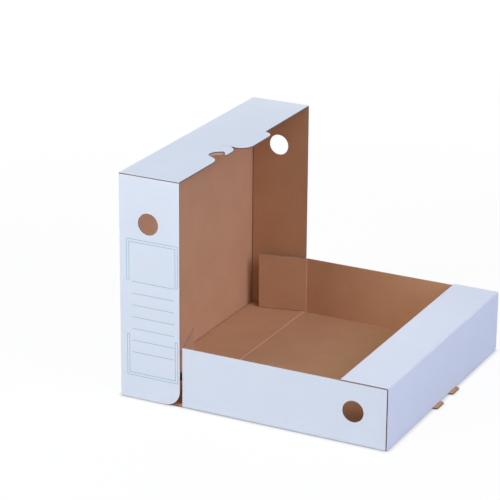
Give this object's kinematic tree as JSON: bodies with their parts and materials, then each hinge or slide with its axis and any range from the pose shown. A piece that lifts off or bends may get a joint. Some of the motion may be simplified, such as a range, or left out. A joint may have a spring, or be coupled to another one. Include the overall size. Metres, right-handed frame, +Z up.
{
  "type": "archive box",
  "caption": "Archive box folded from corrugated board, shown open: a tall cover stands upright on its spine and a shallow tray with a folded lip lies flat beside it.",
  "frame": {"origin": "middle of the underside of the whole open box, on the floor it stands on", "axes": "+X from the upright cover to the end wall of the tray, +Y from the front end to the back end, +Z up"},
  "size_m": [0.3306, 0.323, 0.264],
  "materials": {
    "white_board": "matt white paper liner on corrugated board",
    "kraft_board": "matt brown kraft liner on corrugated board"
  },
  "bodies": {
    "spine": {"spine_panel": "white_board"},
    "cover": {"side_panel": "white_board", "label_panel_front": "white_board", "label_panel_back": "white_board", "cover_top": "white_board", "top_flap_front": "kraft_board", "top_flap_back": "kraft_board"},
    "tray": {"tray_floor": "kraft_board", "tray_wall_front": "white_board", "tray_wall_back": "white_board", "tray_end_wall": "white_board", "tray_lip": "white_board", "end_flap_front": "kraft_board", "end_flap_back": "kraft_board", "lip_flap_front": "kraft_board", "lip_flap_back": "kraft_board"},
    "corner_front": {"corner_flap_front": "kraft_board"},
    "corner_back": {"corner_flap_back": "kraft_board"}
  },
  "joints": [
    {"name": "cover_fold", "type": "hinge", "parent": "spine", "child": "cover", "pos_m": [-0.16525, 0, 0], "axis": [0, -1, 0], "range_deg": [0, 90]},
    {"name": "tray_fold", "type": "hinge", "parent": "spine", "child": "tray", "pos_m": [-0.09025, 0, 0], "axis": [0, -1, 0], "range_deg": [0, 90], "deforming": ["corner_flap_front", "corner_flap_back"]},
    {"name": "corner_fold_front", "type": "hinge", "parent": "tray", "child": "corner_front", "pos_m": [-0.08825, -0.1594, 0], "axis": [0, 0, -1], "range_deg": [0, 17]},
    {"name": "corner_fold_back", "type": "hinge", "parent": "tray", "child": "corner_back", "pos_m": [-0.08825, 0.1594, 0], "axis": [0, 0, 1], "range_deg": [0, 78.5]}
  ],
  "couplings": [
    {"joint": "corner_fold_front", "follows": "tray_fold", "ratio": 0.18889},
    {"joint": "corner_fold_back", "follows": "tray_fold", "ratio": 0.87222}
  ]
}
